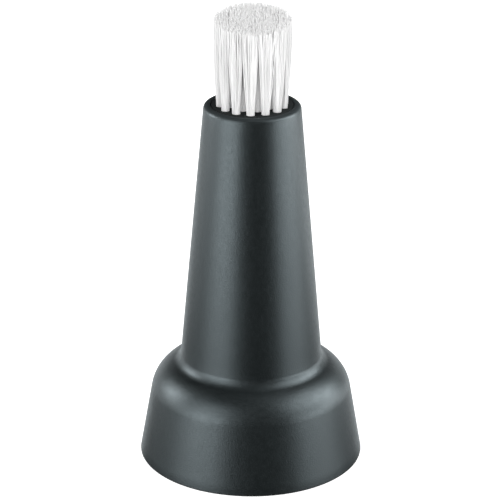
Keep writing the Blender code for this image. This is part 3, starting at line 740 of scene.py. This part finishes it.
def make_carrier():
    """Turned moulding: nose collar, screwed flange, bearing tube with its pockets, centring disc."""
    low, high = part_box("bearing_carrier")
    lower_bush, upper_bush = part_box("lower_bush"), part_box("upper_bush")
    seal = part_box("shaft_seal")
    seal_pocket = seal[1].x + SEAT_GAP
    seal_floor = seal[0].z - SEAT_GAP
    bush_pocket = lower_bush[1].x + SEAT_GAP
    lower_seat = lower_bush[1].z + SEAT_GAP
    upper_seat = upper_bush[0].z - SEAT_GAP
    relief_radius = SHAFT_RADIUS + SHAFT_RELIEF
    socket_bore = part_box("drive_socket")[1].x + SOCKET_CLEARANCE
    socket_wall = socket_bore + CARRIER_WALL
    head, tube = seal_pocket + CARRIER_WALL, bush_pocket + CARRIER_WALL
    head_bottom = seal_floor - CARRIER_WALL
    cone_top = head_bottom - (head - tube)
    disc_top = cone_top - DISC_DROP
    disc_bottom = disc_top - DISC_THICKNESS
    step = lower_bush[0].z + CARRIER_WALL
    collar_radius = nose_radius + COLLAR_WALL
    ring_low, ring_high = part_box("retaining_ring")
    ring_height = (ring_low.z + ring_high.z) / 2
    ring_half = RING_WIRE_RADIUS + SEAT_GAP
    groove = nose_radius + RING_GROOVE_DEPTH
    section = [
        (seal_pocket, high.z),
        (head, high.z),
        (head, head_bottom),
        (tube, cone_top),
        (tube, disc_top),
        (neck_radius(disc_top, HOUSING_WALL) - SEAT_GAP, disc_top),
        (neck_radius(disc_bottom, HOUSING_WALL) - SEAT_GAP, disc_bottom),
        (tube, disc_bottom),
        (tube, step + socket_wall - tube),
        (socket_wall, step),
        (socket_wall, flange_top),
        (high.x, flange_top),
        (high.x, flange_bottom),
        (collar_radius, flange_bottom),
        (collar_radius, low.z),
        (nose_radius + COLLAR_LEAD, low.z),
        (nose_radius, low.z + COLLAR_LEAD),
        (nose_radius, ring_height - ring_half),
        (groove, ring_height - ring_half),
        (groove, ring_height + ring_half),
        (nose_radius, ring_height + ring_half),
        (nose_radius, flange_bottom),
        (socket_bore, flange_bottom),
        (socket_bore, lower_bush[0].z),
        (bush_pocket, lower_bush[0].z),
        (bush_pocket, lower_seat),
        (relief_radius, lower_seat),
        (relief_radius, upper_seat),
        (bush_pocket, upper_seat),
        (bush_pocket, seal_floor),
        (seal_pocket, seal_floor),
    ]
    carrier = turned("carrier_moulding", softened(section, MOULD_ROUNDING), CARRIER_STEPS)
    screws = [centre_of(name) for name in SCREW_NAMES]
    hole_radius = SCREW_RADIUS + SEAT_GAP
    bottom, top = flange_bottom - CUT_OVERRUN, flange_top + CUT_OVERRUN
    holes = rods("flange_holes", screws, hole_radius, bottom, top, SCREW_STEPS)
    combine(carrier, holes, "DIFFERENCE")
    height = NOTCH_DEPTH + CUT_OVERRUN
    size = (COLLAR_WALL + 2 * CUT_OVERRUN, NOTCH_WIDTH, height)
    middle = (nose_radius + COLLAR_WALL / 2, 0.0, low.z + NOTCH_DEPTH - height / 2)
    for angle in turns(NOTCH_COUNT, math.pi / NOTCH_COUNT):
        matrix = Matrix.Rotation(angle, 4, "Z") @ Matrix.Translation(middle)
        combine(carrier, block("key_notch", matrix, size), "DIFFERENCE")
    dress(carrier, "housing", "carrier_plastic", "bearing_carrier")


def make_screws():
    """Pan head screws with a domed, cross-recessed head under the flange."""
    low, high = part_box(SCREW_NAMES[1])
    head_top = low.z + SCREW_HEAD_HEIGHT
    head_radius = (high.y - low.y) / 2
    dome_top = low.z + SCREW_DOME_SHARE * SCREW_HEAD_HEIGHT
    dome = []
    for i in range(DOME_STEPS + 1):
        angle = math.pi / 2 * i / DOME_STEPS
        share = SCREW_FACE_SHARE + (1 - SCREW_FACE_SHARE) * math.cos(angle)
        dome.append((head_radius * share, dome_top - (dome_top - low.z) * math.sin(angle)))
    section = [
        (0.0, high.z),
        (SCREW_TIP_RADIUS, high.z),
        (SCREW_RADIUS, high.z - SCREW_TIP),
        (SCREW_RADIUS, head_top),
        (head_radius, head_top),
        *dome,
        (0.0, low.z),
    ]
    height = SCREW_RECESS_DEPTH + CUT_OVERRUN
    recess = Matrix.Translation((0.0, 0.0, low.z + SCREW_RECESS_DEPTH - height / 2))
    slots = ((head_radius, SCREW_RECESS_WIDTH, height), (SCREW_RECESS_WIDTH, head_radius, height))
    for name in SCREW_NAMES:
        label = name.replace("carrier_screw", "pan_screw")
        screw = turned(label, section, SCREW_STEPS, closed=False)
        for size in slots:
            combine(screw, block("slot", recess, size), "DIFFERENCE")
        x, y = centre_of(name)
        turn = Matrix.Rotation(math.atan2(y, x), 4, "Z")
        screw.data.transform(Matrix.Translation((x, y, 0.0)) @ turn)
        dress(screw, "housing", "zinc_plate", name)


def make_gasket():
    """Soft-edged rubber ring under the flange."""
    low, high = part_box("nose_gasket")
    inner = nose_radius - SEAT_GAP - GASKET_WIDTH
    section = [(inner, high.z), (high.x, high.z), (high.x, low.z), (inner, low.z)]
    gasket = turned("gasket_ring", softened(section, GASKET_ROUNDING), CARRIER_STEPS)
    dress(gasket, "housing", "seal_rubber", "nose_gasket")


def make_wire_ring():
    """Open ring of round spring wire in the collar's groove."""
    low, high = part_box("retaining_ring")
    height = (low.z + high.z) / 2
    curve = new_curve("wire_ring", RING_WIRE_RADIUS, RING_ROUNDNESS)
    spline = curve.splines.new("POLY")
    spline.points.add(RING_POINTS - 1)
    radius = nose_radius + RING_GROOVE_DEPTH - SEAT_GAP - RING_WIRE_RADIUS
    for i, point in enumerate(spline.points):
        angle = RING_OPENING / 2 + (math.tau - RING_OPENING) * i / (RING_POINTS - 1)
        point.co = (radius * math.cos(angle), radius * math.sin(angle), height, 1.0)
    dress(meshed("wire_ring", curve), "housing", "spring_steel", "retaining_ring")


def make_socket():
    """Sleeve with a hexagon socket below, for the hand unit's spindle, and the shaft's seat above."""
    low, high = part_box("drive_socket")
    section = [(0.0, high.z), (high.x, high.z), (high.x, low.z), (0.0, low.z)]
    socket = turned("hexagon_socket", softened(section, SHAFT_CHAMFER), CARRIER_STEPS, closed=False)
    corner = SOCKET_FLATS / 2 / math.cos(math.pi / SOCKET_SIDES)
    flat_turn = Matrix.Rotation(math.pi / SOCKET_SIDES, 4, "Z")
    length = SOCKET_DEPTH + CUT_OVERRUN
    place = Matrix.Translation((0.0, 0.0, low.z + SOCKET_DEPTH - length / 2)) @ flat_turn
    combine(socket, rod("hexagon", place, corner, length, SOCKET_SIDES), "DIFFERENCE")
    length = SOCKET_LEAD + CUT_OVERRUN
    place = Matrix.Translation((0.0, 0.0, low.z + SOCKET_LEAD - length / 2)) @ flat_turn
    lead = rod("lead", place, corner + length, length, SOCKET_SIDES, corner)
    combine(socket, lead, "DIFFERENCE")
    length = SHAFT_SEAT_DEPTH + CUT_OVERRUN
    place = Matrix.Translation((0.0, 0.0, high.z - SHAFT_SEAT_DEPTH + length / 2))
    combine(socket, rod("seat", place, bore_radius, length, HOLE_STEPS), "DIFFERENCE")
    combine(socket, cross_rod("socket_pin", high.x), "DIFFERENCE")
    dress(socket, "brush", "plate_plastic", "drive_socket")


# The brush plate and the tufts


def tuft_names():
    """The tuft nodes, in order."""
    return sorted(name for name in nodes if name.startswith("tuft_"))


def tuft_place(name):
    """The radius and angle of a tuft's root, from the low end of its solid."""
    low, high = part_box(name)
    root = [v.co for v in nodes[name].data.vertices if v.co.z < low.z + ROOT_SLICE]
    x = (min(p.x for p in root) + max(p.x for p in root)) / 2
    y = (min(p.y for p in root) + max(p.y for p in root)) / 2
    return math.hypot(x, y), math.atan2(y, x)


def make_brush_plate():
    """Round plate with a close round hole for each tuft, and its hub."""
    low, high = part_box("brush_plate")
    top = high.z
    plate_bottom = top - PLATE_THICKNESS
    bore_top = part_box("drive_shaft")[1].z + SEAT_GAP
    edge_centre = (plate_radius - PLATE_CHAMFER, top - PLATE_CHAMFER)
    edge = arc(edge_centre, PLATE_CHAMFER, 0.0, math.pi / 2, PLATE_EDGE_STEPS)
    section = [
        (0.0, top),
        *reversed(edge),
        (plate_radius, plate_bottom),
        (HUB_RADIUS, plate_bottom),
        (HUB_RADIUS, low.z),
        (bore_radius, low.z),
        (bore_radius, bore_top),
        (0.0, bore_top),
    ]
    plate = turned("tufted_plate", section, HOUSING_STEPS, closed=False)
    places = [polar((0.0, 0.0), *tuft_place(name)) for name in tuft_names()]
    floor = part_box("tuft_a_01")[0].z - SEAT_GAP
    holes = rods("tuft_holes", places, TUFT_HOLE_RADIUS, floor, top + CUT_OVERRUN, HOLE_STEPS)
    combine(plate, holes, "DIFFERENCE")
    combine(plate, cross_rod("plate_pin", HUB_RADIUS), "DIFFERENCE")
    dress(plate, "brush", "plate_plastic", "brush_plate")


def sunflower(count, radius):
    """Points spread evenly over a disc."""
    return [
        polar((0.0, 0.0), radius * math.sqrt((i + 0.5) / count), i * GOLDEN_ANGLE)
        for i in range(count)
    ]


def strand(curve, root, tip, bow, bottom):
    """One filament: straight up from its root to the mouth, then leaning out to its tip."""
    spline = curve.splines.new("POLY")
    spline.points.add(FILAMENT_POINTS - 1)
    for i, point in enumerate(spline.points):
        height = bottom + (tip.z - bottom) * i / (FILAMENT_POINTS - 1)
        free = max(0.0, (height - housing_height) / (tip.z - housing_height))
        lean = free ** FAN_POWER
        place = root.lerp(tip, lean) + bow * math.sin(math.pi * free)
        point.co = (place.x, place.y, height, 1.0)


def trim_height(tip):
    """How the trimmed end stands at this point: a little aslant, high at the back."""
    return tip.y * TRIM_SLANT


def make_tuft(name, centre, tips, trim_lift, draw):
    """One tuft of round filaments that leave their hole together and fan out to the trimmed field."""
    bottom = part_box(name)[0].z
    curve = new_curve(name, FILAMENT_RADIUS, FILAMENT_ROUNDNESS)
    for i, tip in enumerate(sorted(tips, key=lambda tip: (tip - centre).length)):
        reach = ROOT_SPREAD * math.sqrt((i + 0.5) / len(tips))
        root = centre + (tip - centre).normalized() * reach
        end = tip + Vector((draw.gauss(0.0, TIP_JITTER), draw.gauss(0.0, TIP_JITTER), 0.0))
        if end.length > FIELD_RADIUS:
            end *= (FIELD_RADIUS - abs(draw.gauss(0.0, EDGE_JITTER))) / end.length
        loose = 1 - CLEAN_SIDE * max(0.0, tip.y / FIELD_RADIUS)
        end.z = trim_lift + trim_height(tip) - loose * abs(draw.gauss(0.0, TRIM_SCATTER))
        if draw.random() < SHORT_SHARE * loose:
            end.z -= SHORT_DROP * draw.uniform(*SHORT_RANGE)
        bow = Vector((draw.gauss(0.0, BOW), draw.gauss(0.0, BOW), 0.0))
        strand(curve, root, end, bow, bottom)
    dress(meshed(name.replace("tuft", "bristles"), curve), "brush", "white_bristle", name)


def make_tufts():
    """All the tufts. Each takes the points of one even field of tips that are nearest to it."""
    draw = random.Random(DRAW_SEED)
    names = tuft_names()
    centres = [Vector((*polar((0.0, 0.0), *tuft_place(name)), 0.0)) for name in names]
    field = [Vector((x, y, 0.0)) for x, y in sunflower(FILAMENTS, FIELD_RADIUS)]
    trim_lift = cad_box[1].z - TOP_GAP - max(trim_height(tip) for tip in field)
    shares = [[] for _ in names]
    for tip in field:
        nearest = min(range(len(names)), key=lambda i: (centres[i] - tip).length)
        shares[nearest].append(tip)
    for name, centre, tips in zip(names, centres, shares):
        make_tuft(name, centre, tips, trim_lift, draw)


# Floor, light and camera


def make_floor():
    """A wide white floor with a glow of its own. It casts no shadow and is clear from below."""
    shape = bmesh.new()
    bmesh.ops.create_circle(shape, cap_ends=True, segments=FLOOR_STEPS, radius=FLOOR_RADIUS)
    floor = shaped("studio_floor", shape)
    floor.location.z = -FLOOR_DROP
    made, tree, shader = new_finish("studio_floor")
    colours = ((0.90, 0.90, 0.90), (0.92, 0.92, 0.92))
    tint(tree, noise(tree, *FLOOR_CLOUDS), colours, shader.inputs["Base Color"])
    shader.inputs["Roughness"].default_value = FLOOR_ROUGHNESS
    shader.inputs["Specular IOR Level"].default_value = 0.0
    shader.inputs["Emission Color"].default_value = (1.0, 1.0, 1.0, 1.0)
    shader.inputs["Emission Strength"].default_value = FLOOR_GLOW
    clear = tree.nodes.new("ShaderNodeBsdfTransparent")
    side = tree.nodes.new("ShaderNodeNewGeometry")
    mix = tree.nodes.new("ShaderNodeMixShader")
    tree.links.new(side.outputs["Backfacing"], mix.inputs["Fac"])
    tree.links.new(shader.outputs["BSDF"], mix.inputs[1])
    tree.links.new(clear.outputs["BSDF"], mix.inputs[2])
    tree.links.new(mix.outputs["Shader"], tree.nodes["Material Output"].inputs["Surface"])
    floor.data.materials.append(made)
    floor.visible_glossy = False
    floor.visible_diffuse = False
    floor.visible_shadow = False


def make_world():
    """Soft surroundings: white behind the part, dim in its gloss, and a broad soft light on it."""
    world = bpy.data.worlds.new("studio")
    bpy.context.scene.world = world
    world.use_nodes = True
    tree = world.node_tree
    back = tree.nodes["Background"]
    back.inputs["Color"].default_value = (1.0, 1.0, 1.0, 1.0)
    path = tree.nodes.new("ShaderNodeLightPath")
    strength = None
    for ray, level in (("Is Glossy Ray", GLOSS_LEVEL), ("Is Diffuse Ray", FILL_LEVEL)):
        mix = tree.nodes.new("ShaderNodeMix")
        mix.inputs["A"].default_value = BACKGROUND_LEVEL
        mix.inputs["B"].default_value = level
        tree.links.new(path.outputs[ray], mix.inputs["Factor"])
        if strength is not None:
            tree.links.new(strength, mix.inputs["A"])
        strength = mix.outputs["Result"]
    tree.links.new(strength, back.inputs["Strength"])


def softbox(name, azimuth, width, bottom, top, radiance):
    """An upright soft light on the ring, for gloss alone. Azimuth is 0 in front, 90 at the right."""
    light = bpy.data.lights.new(name, "AREA")
    light.shape = "RECTANGLE"
    light.size = width
    light.size_y = top - bottom
    light.energy = radiance * math.pi * light.size * light.size_y
    light.color = LIGHT_COLOUR
    lamp = link(name, light)
    angle = math.radians(azimuth)
    direction = Vector((math.sin(angle), -math.cos(angle), 0.0))
    lamp.location = direction * LIGHT_DISTANCE + Vector((0.0, 0.0, (bottom + top) / 2))
    lamp.rotation_euler = direction.to_track_quat("Z", "Y").to_euler()
    lamp.visible_camera = False
    lamp.visible_diffuse = False


def panel(name, size, radiance, place, tilt=0.0):
    """A square soft light out of the camera's sight. It shines down, or up at a tilt of 180 degrees."""
    light = bpy.data.lights.new(name, "AREA")
    light.size = size
    light.energy = radiance * math.pi * light.size ** 2
    lamp = link(name, light)
    lamp.location = place
    lamp.rotation_euler.x = math.radians(tilt)
    lamp.visible_camera = False
    return lamp


def make_lights():
    """The ring with its dark front, a light for gloss above, one below and two for diffuse shading."""
    for place in RING_LIGHTS:
        softbox(*place)
    top = panel("top_softbox", size=0.5, radiance=0.3, place=(0.12, 0.0, 0.75))
    top.data.color = LIGHT_COLOUR
    top.visible_diffuse = False
    panel("under_softbox", size=0.5, radiance=1.5, place=(0.0, 0.0, -0.60), tilt=180.0)
    front = panel("front_fill", size=0.4, radiance=2.9, place=(0.0, -0.56, 0.30), tilt=68.0)
    front.visible_glossy = False
    above = panel("top_fill", size=0.4, radiance=1.1, place=(0.0, 0.0, 0.70))
    above.visible_glossy = False


def make_camera():
    """The camera at the photograph's place, a long lens that looks down on the rim."""
    camera_data = bpy.data.cameras.new("photo_camera")
    camera_data.sensor_width = CAMERA_SENSOR
    camera_data.lens = CAMERA_LENS
    camera = link("photo_camera", camera_data)
    pitch = Matrix.Rotation(math.radians(90.0 - CAMERA_DOWN), 4, "X")
    roll = Matrix.Rotation(math.radians(CAMERA_ROLL), 4, "Z")
    camera.location = CAMERA_PLACE
    camera.rotation_euler = (pitch @ roll).to_euler()
    bpy.context.scene.camera = camera


dress_solids()
make_cone_shell()
make_carrier()
make_screws()
make_gasket()
make_wire_ring()
make_socket()
make_brush_plate()
make_tufts()
make_floor()
make_world()
make_lights()
make_camera()
bpy.context.scene.view_settings.view_transform = "Standard"
